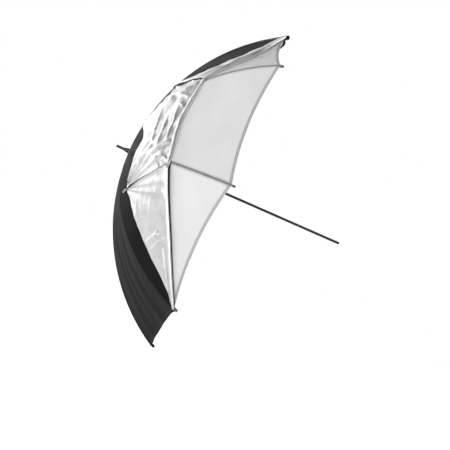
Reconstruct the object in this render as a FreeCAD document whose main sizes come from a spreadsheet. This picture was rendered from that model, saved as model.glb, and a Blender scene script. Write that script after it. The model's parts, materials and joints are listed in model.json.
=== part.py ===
"""Umbrella reflector: an eight-rib photographic umbrella with a white canopy and a two-sided cover.

Frame: +X runs along the shaft towards its free end, which a stand's clamp grips, and +Z is up.
The origin is on the shaft's axis where the clamp holds it. The canopy opens towards +X.
Ribs are numbered from the top one, turning about +X: rib 1 points up, rib 3 towards -Y, rib 5 down.
Gore 1 lies between ribs 1 and 2, and so on. Lengths are in millimetres, angles in degrees.
"""
import FreeCAD, Part
import math
import os

import Sketcher
from FreeCAD import Placement, Rotation, Vector

DIMENSIONS = (
    ("rib_count", 8, "ribs, and as many gores and stretchers"),
    ("canopy_radius", 533, "radius of curvature of the white canopy's inner face, along a rib"),
    ("canopy_centre_x", 20, "where that curve's centre lies on the shaft's axis"),
    ("rim_angle", 59.7, "from the apex to the canopy's corners, about that centre"),
    ("rib_end_angle", 59.8, "from the apex to the end of a rib, about the ribs' centre"),
    ("rib_centre_shift", 4, "the ribs' curve is centred this much nearer the free end"),
    ("hem_scallop", 18, "how far the hem curves in between two ribs, along X"),
    ("cloth_thickness", 0.8, "canopy and cover, each"),
    ("cloth_gap", 0.3, "between ribs, canopy and cover, and between two gores"),
    ("apex_hole_radius", 5, "hole in both cloths for the shaft"),
    ("rib_width", 3.2, "outside of the rib's channel"),
    ("rib_height", 3.2, "depth of the rib's channel"),
    ("rib_wall", 0.5, "steel sheet of the ribs"),
    ("pivot_depth", 2.2, "from a rib's outer face to the pivots in it"),
    ("tongue_width", 1.2, "flattened ends that hang on a wire or sit in a channel"),
    ("tongue_radius", 1.5, "round end of a tongue, half its height"),
    ("tongue_length", 9, "from a pivot to where the stretcher's rod or the channel starts"),
    ("eye_radius", 0.65, "hole in a tongue"),
    ("wire_radius", 0.6, "wire rings and rivets"),
    ("rivet_head_radius", 1.2, "heads of the rivets"),
    ("rivet_head_height", 0.6, "thickness of those heads"),
    ("pivot_circle", 8.5, "radius of both wire rings about the shaft's axis"),
    ("joint_angle", 27, "from the apex to a rib's joint with its stretcher"),
    ("rod_radius", 1.2, "stretcher's rod"),
    ("tube_radius", 3.5, "outside of the shaft"),
    ("tube_wall", 0.8, "wall of the shaft"),
    ("shaft_end_x", 112, "free end of the tube"),
    ("shaft_tip_x", -551, "other end of the tube, beyond the apex"),
    ("stop_x", -11.2, "groove of the ring that keeps the runner on the shaft"),
    ("stop_width", 1.2, "length of that groove along the shaft"),
    ("stop_groove_radius", 3.1, "bottom of that groove"),
    ("stop_ring_radius", 5, "outside of that ring"),
    ("hub_radius", 10.6, "crown hub and runner, over their slots"),
    ("hub_flange", 2.4, "closed end of the hub and of the runner"),
    ("hub_flange_rise", 0.4, "how far that end stands out, and its distance from the tongues"),
    ("hub_front", 3.5, "from the wire ring to the slotted part's open end"),
    ("slot_floor", 5.9, "radius to the bottom of the slots"),
    ("slot_width", 1.5, "slots of the hub and of the runner"),
    ("hub_nose_length", 10, "from the wire ring to the end of the hub's nose"),
    ("hub_nose_radius", 5.8, "the hub's nose"),
    ("pin_radius", 0.9, "pin across the hub's nose and the shaft"),
    ("pin_offset", 7.5, "from the hub's wire ring to that pin"),
    ("sleeve_length", 40, "from the runner's wire ring to the end of its sleeve"),
    ("sleeve_radius", 5.4, "outside of the runner's sleeve"),
    ("sleeve_lip", 0.7, "how far the rolled lip at its free end stands out"),
    ("sleeve_collar", 1.2, "how far the collar at its other end stands out"),
    ("sleeve_band", 3, "length of the lip and of the collar"),
    ("sleeve_slope", 1, "length of the slope beside each of them"),
    ("running_bore", 3.58, "bore of what slides on the shaft"),
    ("seat_bore", 3.52, "bore of what is fixed on the shaft"),
    ("fit_gap", 0.02, "between two pieces that are pressed or riveted together"),
    ("loose_gap", 0.1, "between two pieces that only lie in each other"),
    ("overcut", 1, "how far a cut reaches past what it cuts"),
    ("plug_head", 1.5, "length of the plugs' heads beyond the tube"),
    ("plug_depth", 8, "how far the plugs reach into the tube"),
    ("washer_radius", 8, "washer over the cover's apex"),
    ("washer_thickness", 1, "that washer"),
    ("ferrule_radius", 6.5, "wide end of the cone over the apex"),
    ("ferrule_length", 15, "the cone, along the shaft"),
    ("ferrule_band", 3, "straight part at its wide end"),
    ("ferrule_lip", 0.6, "wall of the cone at its narrow end"),
    ("catch_width", 1.2, "leaf of the catch"),
    ("catch_slot_width", 1.6, "slot in the shaft for the leaf"),
    ("catch_nose", 2.4, "how far its nose stands out of the shaft"),
    ("catch_ramp", 12, "length of the nose, sloping away from the sleeve"),
    ("catch_leaf", 26, "from the nose back to the leaf's fixed end"),
    ("catch_top", 2.1, "upper edge of the leaf, above the shaft's axis"),
    ("catch_bottom", 0.3, "its lower edge"),
    ("catch_clearance", 0.4, "from the sleeve's end to the nose"),
    ("catch_crest", 2, "flat top of the nose"),
    ("catch_heel", 3, "straight end of the leaf beyond the nose"),
    ("catch_slot_back", 2, "how far the slot reaches under the sleeve"),
    ("catch_slot_front", 4, "how far the slot reaches beyond the nose's slope"),
    ("tip_radius", 2.8, "bead on a rib's end"),
    ("tip_length", 5, "bead, from its open end to the middle of its round end"),
    ("tip_swell", 0.2, "how much wider the round end is than the bead"),
    ("socket_depth", 4, "how far a rib's end sits in its bead"),
    ("socket_width", 3.4, "square socket in the bead"),
    ("fold_angle", 39, "from the apex to where the folded cover crosses ribs 2 and 3"),
    ("upper_corner_angle", 23.6, "from the apex to the corner of the cover folded back from rib 2"),
    ("upper_corner_turn", 0, "where about the shaft that corner lies, from rib 1"),
    ("lower_corner_angle", 20, "the same for the corner folded back from rib 3"),
    ("lower_corner_turn", 126, "where about the shaft that corner lies, from rib 1"),
    ("folded_gores", 3, "gores of the cover that the fold crosses, from the first"),
)

doc = FreeCAD.newDocument("umbrella_reflector")
sheet = doc.addObject("Spreadsheet::Sheet", "Dimensions")


def fill_sheet():
    """Write each driving dimension on a row of its own: name, value and meaning."""
    for row, (alias, value, meaning) in enumerate(DIMENSIONS, start=1):
        sheet.set(f"A{row}", alias)
        sheet.set(f"B{row}", str(value))
        sheet.set(f"C{row}", meaning)
        sheet.setAlias(f"B{row}", alias)
    doc.recompute()


fill_sheet()
size = {alias: float(sheet.get(alias)) for alias, _, _ in DIMENSIONS}
RIBS = range(1, int(size["rib_count"]) + 1)
STEP = 360 / len(RIBS)

# The rib's own frame has its curve's centre as origin and the rib in the XZ plane.
RIB_CENTRE_X = size["canopy_centre_x"] + size["rib_centre_shift"]
RIB_OUTER = "(Dimensions.canopy_radius - Dimensions.cloth_gap)"
PIVOT_RADIUS = f"({RIB_OUTER} - Dimensions.pivot_depth)"

# The linkage: crown pivot, rib joint and runner pivot of rib 1, in the XZ plane. The crown pivot and
# the runner pivot lie on wire rings of one size, and the stretcher is as long as the crown-to-joint
# distance. So the triangle is isosceles in every position, and the runner stays on the shaft's axis.
pivot_radius = size["canopy_radius"] - size["cloth_gap"] - size["pivot_depth"]
CROWN_X = RIB_CENTRE_X - math.sqrt(pivot_radius**2 - size["pivot_circle"] ** 2)
JOINT_X = RIB_CENTRE_X - pivot_radius * math.cos(math.radians(size["joint_angle"]))
JOINT_RADIUS = pivot_radius * math.sin(math.radians(size["joint_angle"]))
RUNNER_X = 2 * JOINT_X - CROWN_X
STRETCHER_SPAN = math.hypot(JOINT_X - CROWN_X, JOINT_RADIUS - size["pivot_circle"])
STRETCHER_TILT = math.degrees(math.atan2(JOINT_RADIUS - size["pivot_circle"], RUNNER_X - JOINT_X))

SLEEVE_END_X = f"({RUNNER_X} + Dimensions.sleeve_length)"
CROWN_PIN_X = CROWN_X + size["pin_offset"]
APEX_X = (size["canopy_centre_x"] - size["canopy_radius"] - 2 * size["cloth_thickness"]
          - 2 * size["cloth_gap"])


def number(expression):
    """Return what an expression on the sheet comes to."""
    result = sheet.evalExpression(expression)
    return float(getattr(result, "Value", result))


def turned(number_of_steps, base=Vector()):
    """Place a piece at base, then turn it about the shaft's axis by so many rib steps."""
    turn = Placement(Vector(), Rotation(Vector(1, 0, 0), STEP * number_of_steps))
    return turn.multiply(Placement(base, Rotation()))


def new_body(label, placement=Placement()):
    body = doc.addObject("PartDesign::Body", label)
    body.Label = label
    body.Placement = placement
    return body


def origin_feature(body, role):
    return next(item for item in body.Origin.OriginFeatures if item.Role == role)


def pin_point(sketch, geometry, point, across, up):
    """Hold a sketch point at two expressions, measured from the sketch's origin."""
    for kind, expression in (("DistanceX", across), ("DistanceY", up)):
        index = sketch.addConstraint(
            Sketcher.Constraint(kind, -1, 1, geometry, point, number(expression))
        )
        sketch.setExpression(f"Constraints[{index}]", expression)


def outline(body, name, plane, corners):
    """Add a closed sketch of straight lines. Each corner is a pair of expressions."""
    sketch = body.newObject("Sketcher::SketchObject", f"{body.Label}_{name}")
    sketch.AttachmentSupport = (origin_feature(body, plane), [""])
    sketch.MapMode = "FlatFace"
    points = [Vector(number(across), number(up), 0) for across, up in corners]
    for start, end in zip(points, points[1:] + points[:1]):
        sketch.addGeometry(Part.LineSegment(start, end))
    for index, (across, up) in enumerate(corners):
        before = (index - 1) % len(corners)
        sketch.addConstraint(Sketcher.Constraint("Coincident", before, 2, index, 1))
        pin_point(sketch, index, 1, across, up)
    return sketch


def circle(body, name, plane, centre, radius):
    """Add a sketch of one circle, its centre and radius given as expressions."""
    sketch = body.newObject("Sketcher::SketchObject", f"{body.Label}_{name}")
    sketch.AttachmentSupport = (origin_feature(body, plane), [""])
    sketch.MapMode = "FlatFace"
    middle = Vector(number(centre[0]), number(centre[1]), 0)
    sketch.addGeometry(Part.Circle(middle, Vector(0, 0, 1), number(radius)))
    pin_point(sketch, 0, 3, *centre)
    index = sketch.addConstraint(Sketcher.Constraint("Radius", 0, number(radius)))
    sketch.setExpression(f"Constraints[{index}]", radius)
    return sketch


def revolve(body, sketch, kind="Revolution", axis="H_Axis", angle="360"):
    """Turn a sketch about one of its own axes, to add material or, as a Groove, to cut it."""
    feature = body.newObject(f"PartDesign::{kind}", f"{sketch.Name}_{kind.lower()}")
    feature.Profile = sketch
    feature.ReferenceAxis = (sketch, [axis])
    feature.setExpression("Angle", angle)
    return feature


def extrude(body, sketch, kind, length):
    """Pad or pocket a sketch by the same length on both sides of its plane."""
    feature = body.newObject(f"PartDesign::{kind}", f"{sketch.Name}_{kind.lower()}")
    feature.Profile = sketch
    feature.Midplane = True
    feature.setExpression("Length", length)
    return feature


def around_shaft(body, feature):
    """Repeat a cut once for each rib."""
    pattern = body.newObject("PartDesign::PolarPattern", f"{body.Label}_pattern")
    pattern.Originals = [feature]
    pattern.Axis = (origin_feature(body, "X_Axis"), [""])
    pattern.Angle = 360
    pattern.setExpression("Occurrences", "Dimensions.rib_count")
    body.Tip = pattern
    return pattern


def turned_piece(label, corners, x=0):
    """Make a round piece on the shaft's axis from its half section: pairs of (along X, radius)."""
    body = new_body(label, Placement(Vector(x, 0, 0), Rotation()))
    revolve(body, outline(body, "section", "XZ_Plane", corners))
    return body


def primitive(kind, label, placement, **expressions):
    """Add a Part primitive whose sizes are expressions."""
    item = doc.addObject(f"Part::{kind}", label)
    item.Label = label
    item.Placement = placement
    for property_name, expression in expressions.items():
        item.setExpression(property_name, expression)
    return item


def boolean(kind, label, first, second, placement=Placement()):
    item = doc.addObject(f"Part::{kind}", label)
    item.Label = label
    item.Base = first
    item.Tool = second
    item.Placement = placement
    return item


def joined(label, pieces, placement=Placement()):
    item = doc.addObject("Part::MultiFuse", label)
    item.Label = label
    item.Shapes = pieces
    item.Placement = placement
    return item


def along_x(x, y=0, z=0):
    """Stand a cylinder or a cone with its axis along X, starting at the given point."""
    return Placement(Vector(x, y, z), Rotation(Vector(0, 1, 0), 90))


def across_y(x, z, length):
    """Lay a cylinder along Y, with its middle in the XZ plane."""
    return Placement(Vector(x, length / 2, z), Rotation(Vector(1, 0, 0), 90))


# ---------------------------------------------------------------- shaft and what is fixed on it


def shaft_tube():
    """A plain tube with a groove for the stop ring and a slot for the catch."""
    body = new_body("shaft_tube")
    inner = "Dimensions.tube_radius - Dimensions.tube_wall"
    groove_end = "Dimensions.stop_x + Dimensions.stop_width"
    section = (
        ("Dimensions.shaft_tip_x", inner),
        ("Dimensions.shaft_tip_x", "Dimensions.tube_radius"),
        ("Dimensions.stop_x", "Dimensions.tube_radius"),
        ("Dimensions.stop_x", "Dimensions.stop_groove_radius"),
        (groove_end, "Dimensions.stop_groove_radius"),
        (groove_end, "Dimensions.tube_radius"),
        ("Dimensions.shaft_end_x", "Dimensions.tube_radius"),
        ("Dimensions.shaft_end_x", inner),
    )
    revolve(body, outline(body, "section", "XZ_Plane", section))
    slot_start = f"{SLEEVE_END_X} - Dimensions.catch_slot_back"
    slot_end = f"{SLEEVE_END_X} + Dimensions.catch_ramp + Dimensions.catch_slot_front"
    slot = (
        (slot_start, "0"),
        (slot_end, "0"),
        (slot_end, "Dimensions.tube_radius + Dimensions.overcut"),
        (slot_start, "Dimensions.tube_radius + Dimensions.overcut"),
    )
    sketch = outline(body, "catch_slot", "XZ_Plane", slot)
    extrude(body, sketch, "Pocket", "Dimensions.catch_slot_width")
    drill = circle(body, "pin_hole", "XZ_Plane", (f"{CROWN_PIN_X}", "0"),
                   "Dimensions.pin_radius + Dimensions.fit_gap")
    extrude(body, drill, "Pocket", "4 * Dimensions.tube_radius")
    return body


def shaft_end_plugs():
    """Two round plugs, one in each end of the tube."""
    shank = "Dimensions.tube_radius - Dimensions.tube_wall - Dimensions.fit_gap"
    pieces = []
    for end, x, sense in (("free", size["shaft_end_x"], 1), ("tip", size["shaft_tip_x"], -1)):
        turn = Rotation(Vector(0, 1, 0), 90 * sense)
        cap = primitive("Cylinder", f"plug_head_{end}", Placement(Vector(x, 0, 0), turn),
                        Radius="Dimensions.tube_radius", Height="Dimensions.plug_head")
        stem_start = Vector(x - sense * size["plug_depth"], 0, 0)
        stem = primitive("Cylinder", f"plug_stem_{end}", Placement(stem_start, turn), Radius=shank,
                         Height="Dimensions.plug_depth + Dimensions.plug_head / 2")
        pieces += [cap, stem]
    return joined("shaft_end_plugs", pieces)


def stop_ring():
    """A spring ring in the shaft's groove."""
    start = "Dimensions.stop_x + Dimensions.loose_gap"
    end = "Dimensions.stop_x + Dimensions.stop_width - Dimensions.loose_gap"
    inner = "Dimensions.stop_groove_radius + Dimensions.fit_gap"
    return turned_piece("stop_ring", (
        (start, inner),
        (start, "Dimensions.stop_ring_radius"),
        (end, "Dimensions.stop_ring_radius"),
        (end, inner),
    ))


def catch_spring():
    """A steel leaf inside the shaft. Its nose stands out through the slot behind the sleeve's end."""
    body = new_body("catch_spring")
    start = f"({SLEEVE_END_X} + Dimensions.catch_clearance)"
    ramp_end = f"({start} + Dimensions.catch_ramp)"
    heel_end = f"{ramp_end} + Dimensions.catch_heel"
    nose_top = "Dimensions.tube_radius + Dimensions.catch_nose"
    top = "Dimensions.catch_top"
    corners = (
        (f"{start} - Dimensions.catch_leaf", "Dimensions.catch_bottom"),
        (heel_end, "Dimensions.catch_bottom"),
        (heel_end, top),
        (ramp_end, top),
        (f"{start} + Dimensions.catch_crest", nose_top),
        (start, nose_top),
        (start, top),
        (f"{start} - Dimensions.catch_leaf", top),
    )
    extrude(body, outline(body, "leaf", "XZ_Plane", corners), "Pad", "Dimensions.catch_width")
    return body


def hub_like(label, x, sense, bore, nose_radius):
    """Make a slotted hub. Its slots open towards sense along X, its closed end is on the other side."""
    body = new_body(label, Placement(Vector(x, 0, 0), Rotation(Vector(0, 0, 1), 0 if sense > 0 else 180)))
    back = "-(Dimensions.pivot_depth + Dimensions.hub_flange_rise)"
    flange = "Dimensions.hub_radius + Dimensions.hub_flange_rise"
    beyond = "Dimensions.hub_radius + Dimensions.overcut"
    section = (
        (f"{back} - Dimensions.hub_flange", bore),
        (f"{back} - Dimensions.hub_flange", flange),
        (back, flange),
        (back, "Dimensions.hub_radius"),
        ("Dimensions.hub_front", "Dimensions.hub_radius"),
        ("Dimensions.hub_front", nose_radius),
        ("Dimensions.hub_nose_length", nose_radius),
        ("Dimensions.hub_nose_length", bore),
    )
    revolve(body, outline(body, "section", "XZ_Plane", section))
    groove = (
        ("-Dimensions.eye_radius", "Dimensions.pivot_circle - Dimensions.eye_radius"),
        ("Dimensions.eye_radius", "Dimensions.pivot_circle - Dimensions.eye_radius"),
        ("Dimensions.eye_radius", beyond),
        ("-Dimensions.eye_radius", beyond),
    )
    revolve(body, outline(body, "wire_groove", "XZ_Plane", groove), "Groove")
    slot = (
        (back, "Dimensions.slot_floor"),
        ("Dimensions.hub_nose_length + Dimensions.overcut", "Dimensions.slot_floor"),
        ("Dimensions.hub_nose_length + Dimensions.overcut", beyond),
        (back, beyond),
    )
    cut = extrude(body, outline(body, "slot", "XZ_Plane", slot), "Pocket", "Dimensions.slot_width")
    around_shaft(body, cut)
    return body


def crown_hub():
    body = hub_like("crown_hub", CROWN_X, 1, "Dimensions.seat_bore", "Dimensions.hub_nose_radius")
    hole = circle(body, "pin_hole", "XZ_Plane", ("Dimensions.pin_offset", "0"),
                  "Dimensions.pin_radius + Dimensions.fit_gap")
    extrude(body, hole, "Pocket", "4 * Dimensions.hub_radius")
    return body


def wire_ring(label, x):
    """A ring of wire that a row of tongues turns on."""
    return primitive("Torus", label, along_x(x), Radius1="Dimensions.pivot_circle",
                     Radius2="Dimensions.wire_radius")


def crown_pin():
    """A pin across the hub's nose and the shaft."""
    length = 2 * size["hub_nose_radius"]
    return primitive("Cylinder", "crown_pin", across_y(CROWN_PIN_X, 0, length),
                     Radius="Dimensions.pin_radius", Height="2 * Dimensions.hub_nose_radius")


def apex_washer():
    outer_face = f"{APEX_X} - Dimensions.washer_thickness"
    return turned_piece("apex_washer", (
        (outer_face, "Dimensions.seat_bore"),
        (outer_face, "Dimensions.washer_radius - Dimensions.washer_thickness / 2"),
        (f"{APEX_X}", "Dimensions.washer_radius"),
        (f"{APEX_X}", "Dimensions.seat_bore"),
    ))


def top_ferrule():
    """A turned cone that is pressed on the shaft and holds the washer down."""
    base = f"({APEX_X} - Dimensions.washer_thickness - Dimensions.fit_gap)"
    return turned_piece("top_ferrule", (
        (base, "Dimensions.seat_bore"),
        (base, "Dimensions.ferrule_radius"),
        (f"{base} - Dimensions.ferrule_band", "Dimensions.ferrule_radius"),
        (f"{base} - Dimensions.ferrule_length", "Dimensions.tube_radius + Dimensions.ferrule_lip"),
        (f"{base} - Dimensions.ferrule_length", "Dimensions.seat_bore"),
    ))


# ---------------------------------------------------------------- runner


def runner_body():
    return hub_like("runner_body", RUNNER_X, -1, "Dimensions.running_bore", "Dimensions.slot_floor - 0.6")


def runner_sleeve():
    """The tube that a hand slides, with a rolled lip at its free end."""
    start = ("Dimensions.pivot_depth + Dimensions.hub_flange_rise + Dimensions.hub_flange"
             " + Dimensions.fit_gap")
    end = "Dimensions.sleeve_length"
    collar = "Dimensions.sleeve_radius + Dimensions.sleeve_collar"
    lip = "Dimensions.sleeve_radius + Dimensions.sleeve_lip"
    return turned_piece("runner_sleeve", (
        (start, "Dimensions.running_bore"),
        (start, collar),
        (f"{start} + Dimensions.sleeve_band", collar),
        (f"{start} + Dimensions.sleeve_band + Dimensions.sleeve_slope", "Dimensions.sleeve_radius"),
        (f"{end} - Dimensions.sleeve_band - Dimensions.sleeve_slope", "Dimensions.sleeve_radius"),
        (f"{end} - Dimensions.sleeve_band", lip),
        (end, lip),
        (end, "Dimensions.running_bore"),
    ), RUNNER_X)


# ---------------------------------------------------------------- ribs and stretchers


def rib(index):
    """A steel channel on an arc, open towards the shaft, with a flat tongue on the crown's wire."""
    centre = Vector(RIB_CENTRE_X, 0, 0)
    body = new_body(f"rib_{index}", turned(index - 1, centre))
    half = "Dimensions.rib_width / 2"
    inside = "(Dimensions.rib_width / 2 - Dimensions.rib_wall)"
    web = f"{RIB_OUTER} - Dimensions.rib_wall"
    lip = f"{RIB_OUTER} - Dimensions.rib_height"
    channel = (
        (f"-{half}", lip), (f"-{half}", RIB_OUTER), (half, RIB_OUTER), (half, lip),
        (inside, lip), (inside, web), (f"-{inside}", web), (f"-{inside}", lip),
    )
    tongue = (
        ("-Dimensions.tongue_width / 2", f"{PIVOT_RADIUS} - Dimensions.tongue_radius"),
        ("-Dimensions.tongue_width / 2", f"{web} + Dimensions.loose_gap"),
        ("Dimensions.tongue_width / 2", f"{web} + Dimensions.loose_gap"),
        ("Dimensions.tongue_width / 2", f"{PIVOT_RADIUS} - Dimensions.tongue_radius"),
    )
    pivot_angle = math.degrees(math.asin(size["pivot_circle"] / pivot_radius))
    bare = math.degrees(size["tongue_length"] / pivot_radius)
    overlap = 0.7 * bare
    for name, corners, start, end in (
        ("channel", channel, pivot_angle + bare, size["rib_end_angle"]),
        ("tongue", tongue, pivot_angle, pivot_angle + bare + overlap),
    ):
        sketch = outline(body, name, "YZ_Plane", corners)
        sketch.AttachmentOffset = Placement(Vector(), Rotation(Vector(1, 0, 0), start - 90))
        revolve(body, sketch, angle=f"{end - start}")
    eye = (f"-sqrt({PIVOT_RADIUS}^2 - Dimensions.pivot_circle^2)", "Dimensions.pivot_circle")
    joint = (f"-{PIVOT_RADIUS} * cos(Dimensions.joint_angle * 1deg)",
             f"{PIVOT_RADIUS} * sin(Dimensions.joint_angle * 1deg)")
    extrude(body, circle(body, "eye", "XZ_Plane", eye, "Dimensions.tongue_radius"), "Pad",
            "Dimensions.tongue_width")
    extrude(body, circle(body, "eye_hole", "XZ_Plane", eye, "Dimensions.eye_radius"), "Pocket",
            "Dimensions.rib_width + Dimensions.overcut")
    rivet_hole = "Dimensions.wire_radius + Dimensions.fit_gap"
    extrude(body, circle(body, "rivet_hole", "XZ_Plane", joint, rivet_hole), "Pocket",
            "Dimensions.rib_width + Dimensions.overcut")
    return body


def rib_tip(index):
    """A bead with a square socket that caps the rib's end."""
    end = math.radians(size["rib_end_angle"])
    middle_radius = size["canopy_radius"] - size["cloth_gap"] - size["rib_height"] / 2
    direction = Vector(math.sin(end), 0, math.cos(end))
    rib_end = Vector(RIB_CENTRE_X - middle_radius * math.cos(end), 0, middle_radius * math.sin(end))
    barrel = primitive("Cylinder", f"tip_barrel_{index}", Placement(), Radius="Dimensions.tip_radius",
                       Height="Dimensions.tip_length")
    ball = primitive("Sphere", f"tip_ball_{index}", Placement(Vector(0, 0, size["tip_length"]), Rotation()),
                     Radius="Dimensions.tip_radius + Dimensions.tip_swell")
    corner = Vector(-size["socket_width"] / 2, -size["socket_width"] / 2, -size["socket_depth"])
    socket = primitive("Box", f"tip_socket_{index}", Placement(corner, Rotation()),
                       Length="Dimensions.socket_width", Width="Dimensions.socket_width",
                       Height="2 * Dimensions.socket_depth")
    solid = joined(f"tip_solid_{index}", [barrel, ball])
    start = rib_end - direction * (size["socket_depth"] - size["loose_gap"])
    stand = Placement(start, Rotation(Vector(0, 0, 1), direction))
    return boolean("Cut", f"rib_tip_{index}", solid, socket, turned(index - 1).multiply(stand))


def stretcher(index):
    """A round rod with a flat tongue at each end: one in the rib's channel, one on the runner's wire."""
    tongue_end = "1.3 * Dimensions.tongue_length"
    pieces = []
    for name, x in (("joint", 0), ("runner", STRETCHER_SPAN)):
        pieces.append(primitive("Cylinder", f"{name}_end_{index}", across_y(x, 0, size["tongue_width"]),
                                Radius="Dimensions.tongue_radius", Height="Dimensions.tongue_width"))
        start = x if x == 0 else x - number(tongue_end)
        corner = Vector(start, -size["tongue_width"] / 2, -size["tongue_radius"])
        pieces.append(primitive("Box", f"{name}_tongue_{index}", Placement(corner, Rotation()),
                                Length=tongue_end, Width="Dimensions.tongue_width",
                                Height="2 * Dimensions.tongue_radius"))
    pieces.append(primitive("Cylinder", f"rod_{index}", along_x(size["tongue_length"]),
                            Radius="Dimensions.rod_radius",
                            Height=f"{STRETCHER_SPAN} - 2 * Dimensions.tongue_length"))
    holes = [
        primitive("Cylinder", f"{name}_hole_{index}", across_y(x, 0, 2 * size["tongue_width"]),
                  Radius="Dimensions.eye_radius", Height="2 * Dimensions.tongue_width")
        for name, x in (("joint", 0), ("runner", STRETCHER_SPAN))
    ]
    lean = Placement(Vector(JOINT_X, 0, JOINT_RADIUS), Rotation(Vector(0, 1, 0), STRETCHER_TILT))
    return boolean("Cut", f"stretcher_{index}", joined(f"stretcher_bar_{index}", pieces),
                   joined(f"stretcher_holes_{index}", holes), turned(index - 1).multiply(lean))


def joint_rivet(index):
    """A rivet across the rib's channel that the stretcher turns on."""
    head_height = size["rivet_head_height"]
    half = size["rib_width"] / 2 + size["fit_gap"]
    pieces = [primitive("Cylinder", f"shank_{index}", across_y(0, 0, 2 * half + head_height),
                        Radius="Dimensions.wire_radius")]
    pieces[0].Height = 2 * half + head_height
    for side, middle in (("left", -half - head_height / 2), ("right", half + head_height / 2)):
        place = Placement(Vector(0, middle + head_height / 2, 0), Rotation(Vector(1, 0, 0), 90))
        head = primitive("Cylinder", f"rivet_head_{side}_{index}", place,
                         Radius="Dimensions.rivet_head_radius", Height="Dimensions.rivet_head_height")
        pieces.append(head)
    return joined(f"joint_rivet_{index}", pieces, turned(index - 1, Vector(JOINT_X, 0, JOINT_RADIUS)))


# ---------------------------------------------------------------- canopy and cover


def solid_feature(label, shape, placement=Placement()):
    item = doc.addObject("Part::Feature", label)
    item.Label = label
    item.Shape = shape
    item.Placement = placement
    return item


def elliptic_bar(radius, width):
    """Fill the curve that one gore's middle line follows, and stretch it across the gore.

    The ribs follow a circle. The cloth is straight from rib to rib, so it comes nearer the shaft
    in the middle of a gore, and its curve there is an ellipse.
    """
    narrowing = math.cos(math.radians(STEP / 2))
    centre = Vector(size["canopy_centre_x"], -width / 2, 0)
    curve = Part.Ellipse(centre + Vector(radius, 0, 0), centre + Vector(0, 0, radius * narrowing), centre)
    return Part.Face(Part.Wire(curve.toShape())).extrude(Vector(0, width, 0))


def gore_shell(inner_radius, thickness):
    """Cut one gore, centred on the XZ plane, from a shell of cloth."""
    reach = 2 * size["canopy_radius"]
    half_angle = math.radians(STEP / 2)
    rim = math.radians(size["rim_angle"])
    rim_x = size["canopy_centre_x"] - size["canopy_radius"] * math.cos(rim)
    half_chord = size["canopy_radius"] * math.sin(rim) * math.sin(half_angle)
    shell = elliptic_bar(inner_radius + thickness, reach).cut(elliptic_bar(inner_radius, reach))

    side = size["cloth_gap"] / 2
    point = Vector(-reach, 0, side / math.sin(half_angle))
    spread = Vector(0, reach * math.sin(half_angle), reach * math.cos(half_angle))
    left, right = point + Vector(0, -spread.y, spread.z), point + spread
    wedge = Part.Face(Part.makePolygon([point, left, right, point])).extrude(Vector(2 * reach, 0, 0))

    scallop = size["hem_scallop"]
    hem_radius = (half_chord**2 + scallop**2) / (2 * scallop)
    hem_centre = Vector(rim_x - scallop + hem_radius, 0, -reach)
    hem = Part.makeCylinder(hem_radius, 2 * reach, hem_centre)
    apex = Part.makeCylinder(size["apex_hole_radius"], 2 * reach, Vector(-reach, 0, 0), Vector(1, 0, 0))
    return shell.common(wedge).cut(hem).cut(apex)


def on_cover(angle, turn):
    """A point of the cover: angle from the apex, turn about the shaft from rib 1 towards -Y."""
    radius = size["canopy_radius"]
    angle, turn = math.radians(angle), math.radians(turn)
    across = radius * math.sin(angle)
    x = size["canopy_centre_x"] - radius * math.cos(angle)
    return Vector(x, -across * math.sin(turn), across * math.cos(turn))


def prism(points):
    """Stretch an outline, seen along Y, over the near half of the canopy."""
    corners = [Vector(point.x, 0, point.z) for point in points]
    wire = Part.makePolygon(corners + corners[:1])
    return Part.Face(wire).extrude(Vector(0, -2 * size["canopy_radius"], 0))


def folded_cover(shell, double_shell):
    """Fold a gore of the cover back: cut it at the fold and lay a second layer on what is left."""
    past_rim = size["rim_angle"] + 3
    top_corner = on_cover(past_rim, 0)
    low_corner = on_cover(past_rim, 3 * STEP)
    crossings = [on_cover(size["fold_angle"], STEP), on_cover(size["fold_angle"], 2 * STEP)]
    fold = [top_corner] + crossings + [low_corner]
    far = size["canopy_radius"]
    beyond = prism(fold + [low_corner + Vector(far, 0, -far), top_corner + Vector(far, 0, far)])
    flap = prism(fold + [
        on_cover(size["lower_corner_angle"], size["lower_corner_turn"]),
        on_cover(size["upper_corner_angle"], size["upper_corner_turn"]),
    ])
    return shell.cut(beyond).fuse(double_shell.common(flap)).removeSplitter()


def cloth_gores():
    """Make the white canopy and, over it, the cover, gore by gore."""
    thickness = size["cloth_thickness"]
    cover_radius = size["canopy_radius"] + thickness + size["cloth_gap"]
    white = gore_shell(size["canopy_radius"], thickness)
    cover = gore_shell(cover_radius, thickness)
    double = gore_shell(cover_radius, 2 * thickness)
    pieces = []
    for index in RIBS:
        place = turned(index - 0.5)
        pieces.append(solid_feature(f"canopy_gore_{index}", white, place))
        if index <= size["folded_gores"]:
            lying = [shape.transformed(place.Matrix) for shape in (cover, double)]
            pieces.append(solid_feature(f"cover_gore_{index}", folded_cover(*lying)))
        else:
            pieces.append(solid_feature(f"cover_gore_{index}", cover, place))
    return pieces


# ---------------------------------------------------------------- build, check and write


pieces = [
    shaft_tube(), shaft_end_plugs(), stop_ring(), catch_spring(),
    crown_hub(), wire_ring("crown_wire", CROWN_X), crown_pin(), apex_washer(), top_ferrule(),
    runner_body(), runner_sleeve(), wire_ring("runner_wire", RUNNER_X),
]
for make in (rib, rib_tip, stretcher, joint_rivet):
    pieces += [make(index) for index in RIBS]
pieces += cloth_gores()
doc.recompute()

for item in doc.Objects:
    if "Invalid" in item.State or "Error" in item.State:
        raise RuntimeError(f"{item.Label} failed: {item.State}")

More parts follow.
